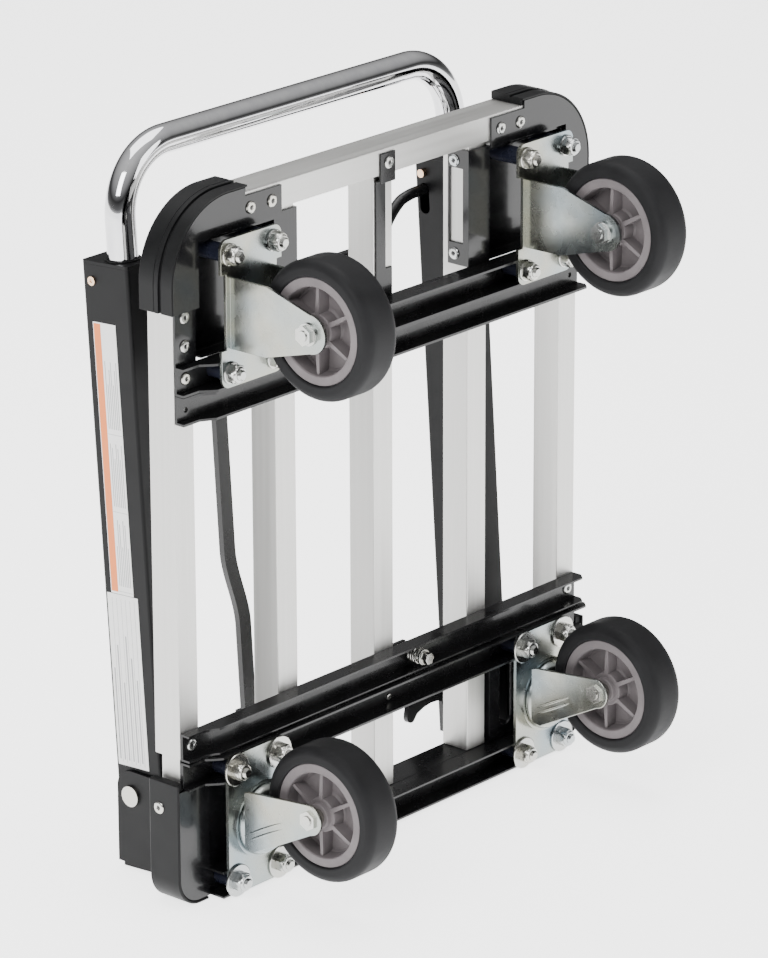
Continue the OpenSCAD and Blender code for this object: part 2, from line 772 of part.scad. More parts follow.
// Flat rod with a joggle, an eye on the release bar and a slotted foot on the crank pin.
module link_rod() {
    y0 = bar_y - 2.5;
    shift = rod_foot_x - rod_x;
    color(black) on_handle() difference() {
        union() {
            translate([rod_x, bar_y + 3, bar_low]) rotate([90, 0, 0]) cylinder(h = 6, r = 8.5);
            block([rod_x - 6, y0, 140], [rod_x + 6, y0 + 5, bar_low - 4]);
            translate([rod_x, y0 + 5, 140.5]) rotate([90, 0, 0]) linear_extrude(height = 5)
                polygon([[-6, 0], [6, 0], [shift + 6, -36], [shift - 6, -36]]);
            block([rod_foot_x - 6, y0, crank_pin_z + 5], [rod_foot_x + 6, y0 + 5, 105]);
            block([rod_foot_x - 6, 2.5, crank_pin_z - 8], [rod_foot_x + 6, 16, crank_pin_z + 6]);
        }
        translate([-200, bar_y, bar_low]) rotate([0, 90, 0]) cylinder(h = 400, r = bar_r + 0.02);
        block([rod_foot_x - 7, 5, crank_pin_z - 2.9], [rod_foot_x + 7, 13.6, crank_pin_z + 2.9]);
    }
}

// Cross shaft that the link rod turns by its crank, with a tongue hanging below the channels.
module lock_shaft() {
    half = post_x - post_w + 4;
    crank_x = rod_foot_x - 11;
    tongue = [[120, 4], [141, 4], [141, -62.9], [136.6, -62.9], [136.6, -38.6], [132, -36.2],
        [124, -35.4], [115, -36.6], [107, -39.5], [103.5, -43.4], [95.6, -38], [98, -29], [108, -17]];
    color(black) on_handle() {
        translate([-half, shaft_y, shaft_z]) rotate([0, 90, 0]) cylinder(h = 2 * half, r = 5);
        translate([crank_x, shaft_y, shaft_z]) rotate([crank_rise, 0, 0]) {
            block([0, 0, -4], [4, crank_r, 4]);
            disc_x(0, crank_r, 0, 4.5, 4);
        }
        disc_x(crank_x + eps, crank_pin_y, crank_pin_z, 2.5, 19);
        translate([0, shaft_y + 2, shaft_z]) rotate([90, 0, 0]) linear_extrude(height = 4) {
            polygon(tongue);
            translate([100.2, -40]) circle(r = 4.8);
        }
    }
}

// ---- extension latch ----

module latch_bolt() {
    head_y = back_y - 15.5;
    color(steel) on_deck() {
        disc_y(latch_x, -12, latch_z, bolt_r - 0.02, -12 - head_y + 1);
        disc_y(latch_x, head_y + 2, latch_z, 6, 1.8);
        hex_y(latch_x, head_y + 0.2 + eps, latch_z, 8, 5.5);
    }
}

module latch_plate() {
    color(black) on_deck() difference() {
        block([latch_x - 8, -14, fixed_channel_z + 2], [latch_x + 8, -11, latch_z + 5]);
        hole_y(latch_x, latch_z, bolt_r - 0.02);
    }
    color(black) on_deck()
        disc_y(latch_x, -13.9, fixed_channel_z + channel_h / 2, 3, 13.3);
}

module latch_spring() {
    turns = 4;
    y0 = back_y - 2.2;
    y1 = back_y - 13.4;
    pitch = (y0 - y1 - 1.2) / turns;
    color(steel) on_deck() for (i = [0 : turns])
        translate([latch_x, y0 - 0.6 - i * pitch, latch_z]) rotate([90, 0, 0])
            rotate_extrude() translate([5.6, 0]) circle(r = 0.6, $fn = 16);
}

// ---- swivel forks and wheels ----

module fork(side) {
    cx = side * caster_x;
    z_axle = swivel_z + trail;
    color(zinc) on_deck() difference() {
        union() {
            disc_y(cx, plate_y - plate_t - 5.9, swivel_z, 26, 4);
            disc_y(cx, -53.6, swivel_z, 24, 3.4);
            block([cx - leg_gap / 2 - leg_t, -57, swivel_z - 20],
                [cx + leg_gap / 2 + leg_t, -54, swivel_z + 20]);
            for (i = [-1, 1])
                translate([cx + i * (leg_gap / 2 + leg_t / 2) - leg_t / 2, 0, 0])
                    rotate([90, 0, 90]) linear_extrude(height = leg_t) {
                        polygon([[-54, swivel_z - 22], [-54, swivel_z + 20],
                            [-axle_drop, z_axle + 12.5], [-axle_drop, z_axle - 12.5],
                            [-68, swivel_z - 24]]);
                        translate([-axle_drop, z_axle]) circle(r = 12.5);
                    }
        }
        disc_y(cx, -30, swivel_z, 6, 40);
        disc_x(cx - 40, -axle_drop, z_axle, bolt_r + 0.03, 80);
    }
}

module fork_axle(side) {
    color(steel) on_deck() axle(side * caster_x, swivel_z + trail);
}

module tyre(cx, z) {
    shoulder = 7;
    color(rubber) on_deck() translate([cx, -axle_drop, z]) rotate([0, 90, 0])
        rotate_extrude($fn = 128) difference() {
            union() {
                translate([rim_r, -tyre_w / 2]) square([wheel_r - shoulder - rim_r, tyre_w]);
                translate([rim_r, -tyre_w / 2 + shoulder])
                    square([wheel_r - rim_r, tyre_w - 2 * shoulder]);
                for (i = [-1, 1])
                    translate([wheel_r - shoulder, i * (tyre_w / 2 - shoulder)]) circle(r = shoulder);
            }
            translate([0, -tyre_w]) square([rim_r, 2 * tyre_w]);
        }
}

module wheel(cx, z) {
    ring_in = 32.5;
    hub_r = 13;
    web = 3;
    width = tyre_w - 3;
    color(rim_grey) on_deck() translate([cx, -axle_drop, z]) rotate([0, 90, 0]) difference() {
        union() {
            difference() {
                cylinder(h = width, r = rim_r, center = true, $fn = 96);
                cylinder(h = width + 1, r = ring_in, center = true, $fn = 96);
            }
            cylinder(h = web, r = ring_in + 0.5, center = true, $fn = 96);
            cylinder(h = width + 3, r = hub_r, center = true);
            for (a = [0 : 60 : 300]) rotate([0, 0, a])
                translate([hub_r - 1, -1.4, -width / 2 + 2]) cube([ring_in - hub_r + 1.5, 2.8, width - 4]);
        }
        cylinder(h = 60, r = axle_r + 0.05, center = true);
    }
}

// ---- assembly ----

inner_rails();
glide_pads();
fixed_crossmember();
pivot_end_tube();
pivot_end_channel();
lower_corner(-1);  // lower_corner_left
lower_corner(1);  // lower_corner_right
lower_cover(-1);  // lower_cover_left
lower_cover(1);  // lower_cover_right
pivot_brackets();
pivot_pins();
swivel_plate(-1);  // swivel_plate_left
swivel_plate(1);  // swivel_plate_right
swivel_bolts();
swivel_spacers();
base_rivets();
outer_rail(-1);  // outer_rail_left
outer_rail(1);  // outer_rail_right
deck_slats();
end_bar();
top_crossmember_upper();
top_crossmember_lower();
sliding_crossmember();
upper_corner(-1);  // upper_corner_left
upper_corner(1);  // upper_corner_right
bumper(-1);  // bumper_left
bumper(1);  // bumper_right
slat_bracket();
rigid_caster(-1);  // rigid_caster_left
rigid_caster(1);  // rigid_caster_right
caster_spacers();
rigid_bolts();
deck_rivets();
rigid_axles();
post(-1);  // post_left
post(1);  // post_right
post_caps();
post_screws();
label_panels();
grip_tube();
release_bar();
link_rod();
lock_shaft();
latch_bolt();
latch_plate();
latch_spring();
fork(-1);  // fork_left
fork(1);  // fork_right
fork_axle(-1);  // fork_axle_left
fork_axle(1);  // fork_axle_right
tyre(-caster_x, rigid_z);  // tyre_top_left
tyre(caster_x, rigid_z);  // tyre_top_right
tyre(-caster_x, swivel_z + trail);  // tyre_low_left
tyre(caster_x, swivel_z + trail);  // tyre_low_right
wheel(-caster_x, rigid_z);  // wheel_top_left
wheel(caster_x, rigid_z);  // wheel_top_right
wheel(-caster_x, swivel_z + trail);  // wheel_low_left
wheel(caster_x, swivel_z + trail);  // wheel_low_right
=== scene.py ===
import json
import math

import bmesh
import bpy
from mathutils import Matrix, Vector

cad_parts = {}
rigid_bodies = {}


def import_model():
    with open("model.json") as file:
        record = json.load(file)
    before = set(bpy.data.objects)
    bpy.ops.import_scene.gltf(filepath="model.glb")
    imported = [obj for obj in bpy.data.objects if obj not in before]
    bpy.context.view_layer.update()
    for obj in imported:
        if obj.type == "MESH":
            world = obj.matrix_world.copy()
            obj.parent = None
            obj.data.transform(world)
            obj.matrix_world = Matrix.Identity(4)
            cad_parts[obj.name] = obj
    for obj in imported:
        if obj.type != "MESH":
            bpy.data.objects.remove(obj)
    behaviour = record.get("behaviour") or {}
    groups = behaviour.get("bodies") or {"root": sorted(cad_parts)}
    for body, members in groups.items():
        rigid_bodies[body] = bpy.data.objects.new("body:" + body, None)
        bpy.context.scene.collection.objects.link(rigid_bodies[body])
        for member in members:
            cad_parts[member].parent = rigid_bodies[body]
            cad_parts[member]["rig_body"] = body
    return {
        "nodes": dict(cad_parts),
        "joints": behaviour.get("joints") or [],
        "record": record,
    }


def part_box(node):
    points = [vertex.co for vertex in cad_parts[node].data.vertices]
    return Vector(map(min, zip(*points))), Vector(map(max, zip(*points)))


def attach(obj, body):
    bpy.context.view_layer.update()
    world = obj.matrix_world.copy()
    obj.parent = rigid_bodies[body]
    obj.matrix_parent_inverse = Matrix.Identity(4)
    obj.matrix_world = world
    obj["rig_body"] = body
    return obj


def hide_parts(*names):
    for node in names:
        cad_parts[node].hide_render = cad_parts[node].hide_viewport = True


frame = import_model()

# Looks of a folding, extending platform truck that stands folded on its pivot end.
# Lengths are in metres, except names that end in _MM and points handed to on_handle, in mm.

MM = 0.001
SAME_POINT = 1e-6  # vertices closer than this are one when solids are told apart
WELD = 2e-6  # vertices closer than this are joined before edges are rounded
ON_AXIS = 1e-9  # a lathe radius below this closes to a point
FLAT_DEG = 0.8  # faces that meet at less than this are merged before edges are rounded
NODES = frame["nodes"]
JOINTS = {joint["name"]: joint for joint in frame["joints"]}


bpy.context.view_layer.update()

# ---- where things are, from the frame ----

PIVOT = Vector(JOINTS["handle_fold"]["pos_m"])
HANDLE_UP = Vector(JOINTS["grip_extension"]["axis"]).normalized()
HANDLE_BACK = Vector((0, HANDLE_UP.z, -HANDLE_UP.y))
SIDES = ("left", "right")
WHEELS = ("top_left", "top_right", "low_left", "low_right")


def on_handle(x_mm, y_mm, z_mm):
    """A point given from the pivot: x across, y back and z up along the posts."""
    across = Vector((x_mm * MM, 0, 0))
    return PIVOT + across + HANDLE_BACK * (y_mm * MM) + HANDLE_UP * (z_mm * MM)


def centre(node):
    low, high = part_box(node)
    return (low + high) / 2


def size(node):
    low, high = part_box(node)
    return high - low


def body_of(node):
    return NODES[node]["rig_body"]


def islands(node):
    """The boxes of a node's separate solids, as (low, high), in a steady order."""
    mesh = bmesh.new()
    mesh.from_mesh(NODES[node].data)
    bmesh.ops.remove_doubles(mesh, verts=mesh.verts, dist=SAME_POINT)
    left = set(mesh.verts)
    boxes = []
    while left:
        stack = [left.pop()]
        found = []
        while stack:
            vert = stack.pop()
            found.append(vert.co.copy())
            for edge in vert.link_edges:
                other = edge.other_vert(vert)
                if other in left:
                    left.discard(other)
                    stack.append(other)
        low = Vector([min(p[i] for p in found) for i in range(3)])
        high = Vector([max(p[i] for p in found) for i in range(3)])
        boxes.append((low, high))
    mesh.free()
    return sorted(boxes, key=lambda b: [round(v, 5) for v in (*b[0], *b[1])])


# ---- node materials ----


class Finish:
    """A procedural material: one Principled shader and the nodes that feed it."""

    def __init__(self, name, colour, metallic=0.0, roughness=0.5, **sockets):
        self.material = bpy.data.materials.new(name)
        self.material.use_nodes = True
        self.material.diffuse_color = (*colour, 1)
        self.tree = self.material.node_tree
        self.shader = self.tree.nodes["Principled BSDF"]
        self.set("Base Color", (*colour, 1))
        self.set("Metallic", metallic)
        self.set("Roughness", roughness)
        for socket, value in sockets.items():
            self.set(socket.replace("_", " "), value)
        self.place = self.node("ShaderNodeTexCoord").outputs["Object"]
        self.normal = None

    def set(self, socket, value):
        self.shader.inputs[socket].default_value = value

    def node(self, kind, **values):
        made = self.tree.nodes.new(kind)
        for key, value in values.items():
            setattr(made, key, value)
        return made

    def link(self, source, target):
        self.tree.links.new(source, target)

    def noise(self, scale, detail=3.0, roughness=0.55):
        """Noise with a different scale along each axis, so that long streaks are possible."""
        mapping = self.node("ShaderNodeMapping")
        mapping.inputs["Scale"].default_value = scale
        self.link(self.place, mapping.inputs["Vector"])
        noise = self.node("ShaderNodeTexNoise")
        noise.inputs["Scale"].default_value = 1.0
        noise.inputs["Detail"].default_value = detail
        noise.inputs["Roughness"].default_value = roughness
        self.link(mapping.outputs["Vector"], noise.inputs["Vector"])
        return noise.outputs["Fac"]

    def colours(self, factor, stops):
        ramp = self.node("ShaderNodeValToRGB")
        elements = ramp.color_ramp.elements
        while len(elements) < len(stops):
            elements.new(0.5)
        for element, (position, colour) in zip(elements, stops):
            element.position = position
            element.color = (*colour, 1)
        self.link(factor, ramp.inputs["Fac"])
        self.link(ramp.outputs["Color"], self.shader.inputs["Base Color"])
        return ramp

    def gloss(self, factor, low, high):
        spread = self.node("ShaderNodeMapRange")
        spread.inputs["From Min"].default_value = 0.3
        spread.inputs["From Max"].default_value = 0.7
        spread.inputs["To Min"].default_value = low
        spread.inputs["To Max"].default_value = high
        self.link(factor, spread.inputs["Value"])
        self.link(spread.outputs["Result"], self.shader.inputs["Roughness"])

    def bump(self, factor, strength, distance):
        bump = self.node("ShaderNodeBump")
        bump.inputs["Strength"].default_value = strength
        bump.inputs["Distance"].default_value = distance
        self.link(factor, bump.inputs["Height"])
        if self.normal:
            self.link(self.normal, bump.inputs["Normal"])
        self.normal = bump.outputs["Normal"]
        self.link(self.normal, self.shader.inputs["Normal"])


def aluminium(name, along):
    """Extruded aluminium with fine lines that run along one axis."""
    fine = [2600.0, 2600.0, 2600.0]
    fine["xyz".index(along)] = 6.0
    broad = [180.0, 180.0, 180.0]
    broad["xyz".index(along)] = 3.0
    finish = Finish(name, (0.78, 0.78, 0.76), metallic=1.0, roughness=0.4)
    lines = finish.noise(fine, detail=2.0)
    bands = finish.noise(broad, detail=3.0)
    finish.colours(bands, [(0.3, (0.50, 0.496, 0.48)), (0.7, (0.58, 0.576, 0.56))])
    finish.gloss(bands, 0.40, 0.50)
    finish.bump(lines, 0.12, 0.00002)
    return finish.material


def enamel(name, colour, low, high, peel, coat=0.0):
    """Black sprayed enamel with faint orange peel and a little dust in its gloss."""
    finish = Finish(name, colour, roughness=low, Coat_Weight=coat, Coat_Roughness=0.08,
                    Specular_IOR_Level=0.3)
    cloud = finish.noise((35, 35, 35), detail=5.0)
    finish.gloss(cloud, low, high)
    lighter = tuple(v * 1.5 + 0.002 for v in colour)
    finish.colours(cloud, [(0.35, colour), (0.75, lighter)])
    finish.bump(finish.noise((420, 420, 420), detail=1.0), peel, 0.00008)
    return finish.material


def grained(name, colour, roughness, grain, depth):
    """Moulded plastic or powder coat with a fine even grain."""
    finish = Finish(name, colour, roughness=roughness, Specular_IOR_Level=0.15)
    cloud = finish.noise((60, 60, 60), detail=4.0)
    lighter = tuple(v * 1.35 for v in colour)
    finish.colours(cloud, [(0.3, colour), (0.75, lighter)])
    finish.gloss(cloud, roughness - 0.06, roughness + 0.06)
    finish.bump(finish.noise((grain, grain, grain), detail=2.0), 0.5, depth)
    return finish.material


def plated(name, cool, warm, low, high):
    """Zinc plating that drifts from bluish to yellowish, with a soft uneven shine."""
    finish = Finish(name, cool, metallic=1.0, roughness=low)
    drift = finish.noise((9, 9, 9), detail=3.0)
    finish.colours(drift, [(0.38, cool), (0.56, warm), (0.72, cool)])
    finish.gloss(finish.noise((60, 60, 60), detail=3.0), low, high)
    finish.bump(finish.noise((160, 160, 160), detail=2.0), 0.05, 0.00004)
    return finish.material


def chrome():
    finish = Finish("chrome_tube", (0.62, 0.62, 0.635), metallic=1.0, roughness=0.05)
    haze = finish.noise((160, 160, 30), detail=4.0)
    finish.gloss(haze, 0.03, 0.09)
    finish.colours(haze, [(0.3, (0.58, 0.58, 0.60)), (0.7, (0.66, 0.66, 0.665))])
    return finish.material


def rubber():
    finish = Finish("tyre_rubber", (0.009, 0.009, 0.0098), roughness=0.6, Specular_IOR_Level=0.14)
    dust = finish.noise((50, 50, 50), detail=6.0)
    finish.colours(dust, [(0.35, (0.0075, 0.0075, 0.0082)), (0.75, (0.013, 0.013, 0.014))])
    finish.gloss(dust, 0.5, 0.66)
    finish.bump(finish.noise((1500, 1500, 1500), detail=2.0), 0.25, 0.00005)
    return finish.material


MATERIALS = {
    "aluminium_rail": aluminium("aluminium_rail", "z"),
    "black_channel": enamel("black_channel", (0.004, 0.004, 0.0044), 0.20, 0.34, 0.12, 0.2),
    "black_gloss_housing": enamel(
        "black_gloss_housing", (0.0035, 0.0035, 0.004), 0.14, 0.24, 0.1, 0.3
    ),
    "charcoal_plastic": grained("charcoal_plastic", (0.0055, 0.0057, 0.006), 0.46, 2200, 0.00004),
    "black_post_paint": grained("black_post_paint", (0.0036, 0.0036, 0.004), 0.42, 1600, 0.00004),
    "zinc_plate": plated("zinc_plate", (0.25, 0.295, 0.32), (0.33, 0.33, 0.285), 0.20, 0.32),
    "bright_fastener": plated(
        "bright_fastener", (0.40, 0.42, 0.43), (0.46, 0.45, 0.41), 0.18, 0.30
    ),
    "dark_spacer": enamel("dark_spacer", (0.008, 0.009, 0.016), 0.2, 0.35, 0.1),
    "brass_screw": plated("brass_screw", (0.74, 0.50, 0.33), (0.80, 0.60, 0.44), 0.22, 0.34),
    "chrome_tube": chrome(),
    "tyre_rubber": rubber(),
    "grey_rim": grained("grey_rim", (0.125, 0.112, 0.115), 0.42, 1400, 0.00004),
}
CROSS_ALUMINIUM = aluminium("aluminium_rail_across", "x")


def printed(name, colour):
    """Flat printing ink or film, with a slightly uneven tone and gloss."""
    finish = Finish(name, colour, roughness=0.36)
    tone = finish.noise((70, 70, 70), detail=3.0)
    finish.colours(tone, [(0.3, tuple(v * 0.94 for v in colour)), (0.7, colour)])
    finish.gloss(tone, 0.30, 0.42)
    return finish.material


MATERIALS["label_vinyl"] = printed("label_vinyl", (0.80, 0.80, 0.79))
ORANGE_INK = printed("label_band", (0.80, 0.19, 0.025))
GREY_INK = printed("label_bars", (0.30, 0.30, 0.31))

SLOT_OF = {part["node"]: part["material_slot"] for part in frame["record"]["subparts"]}


def dress(piece, node, slot=None, material=None):
    """Gives a new piece its finish and makes it ride with a node's body."""
    slot = slot or SLOT_OF[node]
    piece.data.materials.clear()
    piece.data.materials.append(material or MATERIALS[slot])
    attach(piece, body_of(node))
    return piece


# ---- mesh building ----


def from_bmesh(name, mesh, smooth_angle=35.0):
    bmesh.ops.recalc_face_normals(mesh, faces=mesh.faces)
    data = bpy.data.meshes.new(name)
    mesh.to_mesh(data)
    mesh.free()
    data.shade_smooth()
    data.set_sharp_from_angle(angle=math.radians(smooth_angle))
    piece = bpy.data.objects.new(name, data)
    bpy.context.scene.collection.objects.link(piece)
    return piece


def apply_modifiers(piece):
    bpy.context.view_layer.update()
    depsgraph = bpy.context.evaluated_depsgraph_get()
    data = bpy.data.meshes.new_from_object(piece.evaluated_get(depsgraph))
    old = piece.data
    piece.modifiers.clear()
    piece.data = data
    data.name = piece.name
    bpy.data.meshes.remove(old)


def round_edges(piece, width, segments=2, angle=32.0):
    bevel = piece.modifiers.new("bevel", "BEVEL")
    bevel.width = width
    bevel.segments = segments
    bevel.limit_method = "ANGLE"
    bevel.angle_limit = math.radians(angle)
    bevel.use_clamp_overlap = True
    bevel.miter_outer = "MITER_ARC"
    even = piece.modifiers.new("even_normals", "WEIGHTED_NORMAL")
    even.keep_sharp = False
    even.weight = 50
    piece.data.shade_smooth()
    apply_modifiers(piece)


def ease_joggle(mesh):
    """Turns the link rod's straight joggle into a smooth S."""
    low, high = 104.5, 140.5  # where the straight joggle ends and starts, mm above the pivot
    shift = 12.0  # how far it moves sideways, mm
    lead = 13.0  # how far the S runs on past both ends, mm
    cuts = 24
    for k in range(cuts + 1):
        height = low - lead + (high - low + 2 * lead) * k / cuts
        level = on_handle(0, 0, height)
        geometry = mesh.verts[:] + mesh.edges[:] + mesh.faces[:]
        bmesh.ops.bisect_plane(mesh, geom=geometry, plane_co=level, plane_no=HANDLE_UP)
    for vert in mesh.verts:
        height = (vert.co - PIVOT).dot(HANDLE_UP) / MM
        straight = min(max((high - height) / (high - low), 0), 1)
        share = min(max((high + lead - height) / (high - low + 2 * lead), 0), 1)
        smooth = share * share * (3 - 2 * share)
        vert.co.x += (smooth - straight) * shift * MM


def soften(node, width, segments=2, material=None):
    """Stands in for a CAD node with the same shape, its edges rounded as on the real part."""
    mesh = bmesh.new()
    mesh.from_mesh(NODES[node].data)
    bmesh.ops.remove_doubles(mesh, verts=mesh.verts, dist=WELD)
    bmesh.ops.dissolve_limit(
        mesh,
        angle_limit=math.radians(FLAT_DEG),
        verts=mesh.verts,
        edges=mesh.edges,
        use_dissolve_boundaries=False,
    )
    if node == "link_rod":
        ease_joggle(mesh)
    piece = from_bmesh(node + "_finished", mesh)
    round_edges(piece, width, segments)
    dress(piece, node, material=material)
    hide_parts(node)
    return piece


def ring(mesh, points):
    return [mesh.verts.new(p) for p in points]


def bridge(mesh, a, b):
    count = len(a)
    for i in range(count):
        j = (i + 1) % count
        mesh.faces.new((a[i], a[j], b[j], b[i]))


def lathe(mesh, profile, origin, axis, segments=96, closed=True):
    """Turns a profile of (along, radius) points round an axis. A closed profile is a ring."""
    axis = axis.normalized()
    side = axis.orthogonal().normalized()
    other = axis.cross(side)
    columns = []
    for k in range(segments):
        turn = 2 * math.pi * k / segments
        out = side * math.cos(turn) + other * math.sin(turn)
        columns.append([origin + axis * a + out * r for a, r in profile])
    rows = []
    for i, (along, radius) in enumerate(profile):
        if radius < ON_AXIS:
            rows.append([mesh.verts.new(origin + axis * along)] * segments)
        else:
            rows.append([mesh.verts.new(column[i]) for column in columns])
    pairs = list(zip(rows, rows[1:]))
    if closed:
        pairs.append((rows[-1], rows[0]))
    for first, second in pairs:
        for k in range(segments):
            j = (k + 1) % segments
            corners = []
            for vert in (first[k], first[j], second[j], second[k]):
                if vert not in corners:
                    corners.append(vert)
            if len(corners) > 2:
                mesh.faces.new(corners)


def arc(cx, cy, radius, start, end, steps):
    """Points on an arc, in degrees, as (x, y)."""
    turns = [math.radians(start + (end - start) * i / steps) for i in range(steps + 1)]
    return [(cx + radius * math.cos(t), cy + radius * math.sin(t)) for t in turns]


def tube(mesh, points, radius, sides=32, inner=None):
    """Sweeps a round section along points. With an inner radius the ends show a wall."""
    tangents = []
    for i, point in enumerate(points):
        before = points[max(i - 1, 0)]
        after = points[min(i + 1, len(points) - 1)]
        tangents.append((after - before).normalized())
    side = tangents[0].orthogonal().normalized()
    rings, hollow = [], []
    for point, tangent in zip(points, tangents):
        side = (side - tangent * side.dot(tangent)).normalized()
        other = tangent.cross(side)
        turns = [2 * math.pi * k / sides for k in range(sides)]
        spokes = [side * math.cos(t) + other * math.sin(t) for t in turns]
        rings.append(ring(mesh, [point + s * radius for s in spokes]))
        if inner:
            hollow.append(ring(mesh, [point + s * inner for s in spokes]))
    for a, b in zip(rings, rings[1:]):
        bridge(mesh, a, b)
    if inner:
        for a, b in zip(hollow, hollow[1:]):
            bridge(mesh, b, a)
        bridge(mesh, hollow[0], rings[0])
        bridge(mesh, rings[-1], hollow[-1])
    else:
        mesh.faces.new(list(reversed(rings[0])))
        mesh.faces.new(rings[-1])


def rounded_path(corners, radius, steps=10):
    """A path through corners, each turned with an arc of one radius."""
    points = [corners[0]]
    for before, corner, after in zip(corners, corners[1:], corners[2:]):
        a = (before - corner).normalized()
        b = (after - corner).normalized()
        half = a.angle(b) / 2
        reach = radius / math.tan(half)
        middle = corner + (a + b).normalized() * (radius / math.sin(half))
        start = corner + a * reach - middle
        end = corner + b * reach - middle
        turn = start.angle(end)
        for i in range(steps + 1):
            t = i / steps
            blend = start * math.sin((1 - t) * turn) + end * math.sin(t * turn)
            points.append(middle + blend / math.sin(turn))
    points.append(corners[-1])
    return points


# ---- wheels ----


def make_tyre(name):
    node = "tyre_" + name
    half = size(node).x / 2
    outer = size(node).z / 2
    inner = size("wheel_" + name).z / 2
    shoulder = 7 * MM
    lip = 0.7 * MM
    turn = arc(0, 0, shoulder, 4, 88, 9)
    quarter = [(half - shoulder + a, outer - shoulder + r) for a, r in turn]
    right = [(half - 2.2 * MM, inner), (half - lip, inner + 0.3 * MM)]
    right += [(half - 0.2 * MM, inner + 1.2 * MM), (half - 0.35 * MM, inner + 2.4 * MM)]
    right += quarter
    crown = [(6 * MM, outer - 0.02 * MM), (0.0, outer), (-6 * MM, outer - 0.02 * MM)]
    left = [(-a, r) for a, r in reversed(right)]
    mesh = bmesh.new()
    lathe(mesh, right + crown + left, centre(node), Vector((1, 0, 0)), segments=144)
    piece = from_bmesh(node + "_moulded", mesh, smooth_angle=50)
    dress(piece, node)
    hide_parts(node)


def make_wheel(name):
    """Rim ring, recessed web, stepped hub and tapered ribs on both sides."""
    node = "wheel_" + name
    middle = centre(node)
    rim = size(node).z / 2
    hub_half = size(node).x / 2
    face = size("tyre_" + name).x / 2 - 1.5 * MM
    ring_in = 31.6 * MM  # inner radius of the rim ring
    web = 2.2 * MM  # half the web's thickness
    hub = 12.6 * MM  # hub radius
    bore = 6.05 * MM
    ribs = 6
    side = [(face - 0.6 * MM, rim), (face, rim - 0.6 * MM), (face, ring_in + 0.8 * MM)]
    side += [(face - 0.8 * MM, ring_in), (web + 1.5 * MM, ring_in - 1.4 * MM)]
    side += [(web, ring_in - 3 * MM), (web, hub + 2.5 * MM), (web + 1.2 * MM, hub + 0.9 * MM)]
    side += [(hub_half - 4 * MM, hub)]
    side += [(hub_half - 3.4 * MM, hub - 0.6 * MM), (hub_half - 3.4 * MM, hub - 3 * MM)]
    side += [(hub_half - 0.5 * MM, hub - 3.4 * MM), (hub_half, hub - 4 * MM), (hub_half, bore)]
    mesh = bmesh.new()
    profile = side + [(-a, r) for a, r in reversed(side)]
    lathe(mesh, profile, middle, Vector((1, 0, 0)), segments=120)
    # a rib as (reach, depth, half width) at its root and at its tip
    root = (hub - 1 * MM, face - 1.6 * MM, 2.1 * MM)
    tip = (ring_in + 0.5 * MM, face - 2.6 * MM, 1.5 * MM)
    sunk = web - 1 * MM
    for end in (1, -1):
        for k in range(ribs):
            turn = math.radians(360 / ribs * k)
            out = Vector((0, math.sin(turn), math.cos(turn)))
            across = Vector((0, math.cos(turn), -math.sin(turn)))
            sections = []
            for reach, depth, width in (root, tip):
                top = width * 0.8
                outline = ((-width, sunk), (-top, depth), (top, depth), (width, sunk))
                sections.append(ring(mesh, [
                    middle + out * reach + across * w + Vector((end * d, 0, 0)) for w, d in outline
                ]))
            a, b = sections
            bridge(mesh, a, b)
            mesh.faces.new(a)
            mesh.faces.new(list(reversed(b)))
    piece = from_bmesh(node + "_moulded", mesh, smooth_angle=32)
    dress(piece, node)
    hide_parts(node)


for wheel_name in WHEELS:
    make_tyre(wheel_name)
    make_wheel(wheel_name)

# ---- fasteners ----

PLATE_FACE_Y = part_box("rigid_caster_left")[1].y - 2.5 * MM  # front of the caster plates


def hexagon(mesh, origin, axis, across_flats, low, high, phase=0.0):
    """Hexagon nut with chamfered corners between two heights along an axis."""
    axis = axis.normalized()
    side = axis.orthogonal().normalized()
    other = axis.cross(side)
    corner = across_flats / math.sqrt(3)
    cham = 0.09 * across_flats
    levels = [(low, 0.90), (low + cham * 0.5, 1.0), (high - cham, 1.0), (high, 0.86)]
    sides = 36
    rows = []
    for height, grow in levels:
        points = []
        for k in range(sides):
            turn = math.pi * 2 * k / sides
            local = (turn + phase) % (math.pi / 3) - math.pi / 6
            flat = across_flats / 2 / math.cos(local)
            radius = min(flat, corner * grow)
            out = side * math.cos(turn) + other * math.sin(turn)
            points.append(origin + axis * height + out * radius)
        rows.append(ring(mesh, points))
    for a, b in zip(rows, rows[1:]):
        bridge(mesh, a, b)
    mesh.faces.new(list(reversed(rows[0])))
    mesh.faces.new(rows[-1])


def threaded(length, radius, pitch=1.25 * MM):
    """Profile of a threaded end, from its tip inward, as (along, radius)."""
    depth = 0.55 * MM
    profile = [(0.0, 0.0), (0.0, radius - 1.1 * MM), (-0.9 * MM, radius - 0.35 * MM)]
    along = -1.2 * MM
    while along > -length:
        profile += [(along, radius), (along - pitch / 2, radius - depth)]
        along -= pitch
    profile += [(-length, radius), (-length, 0.0)]
    return profile


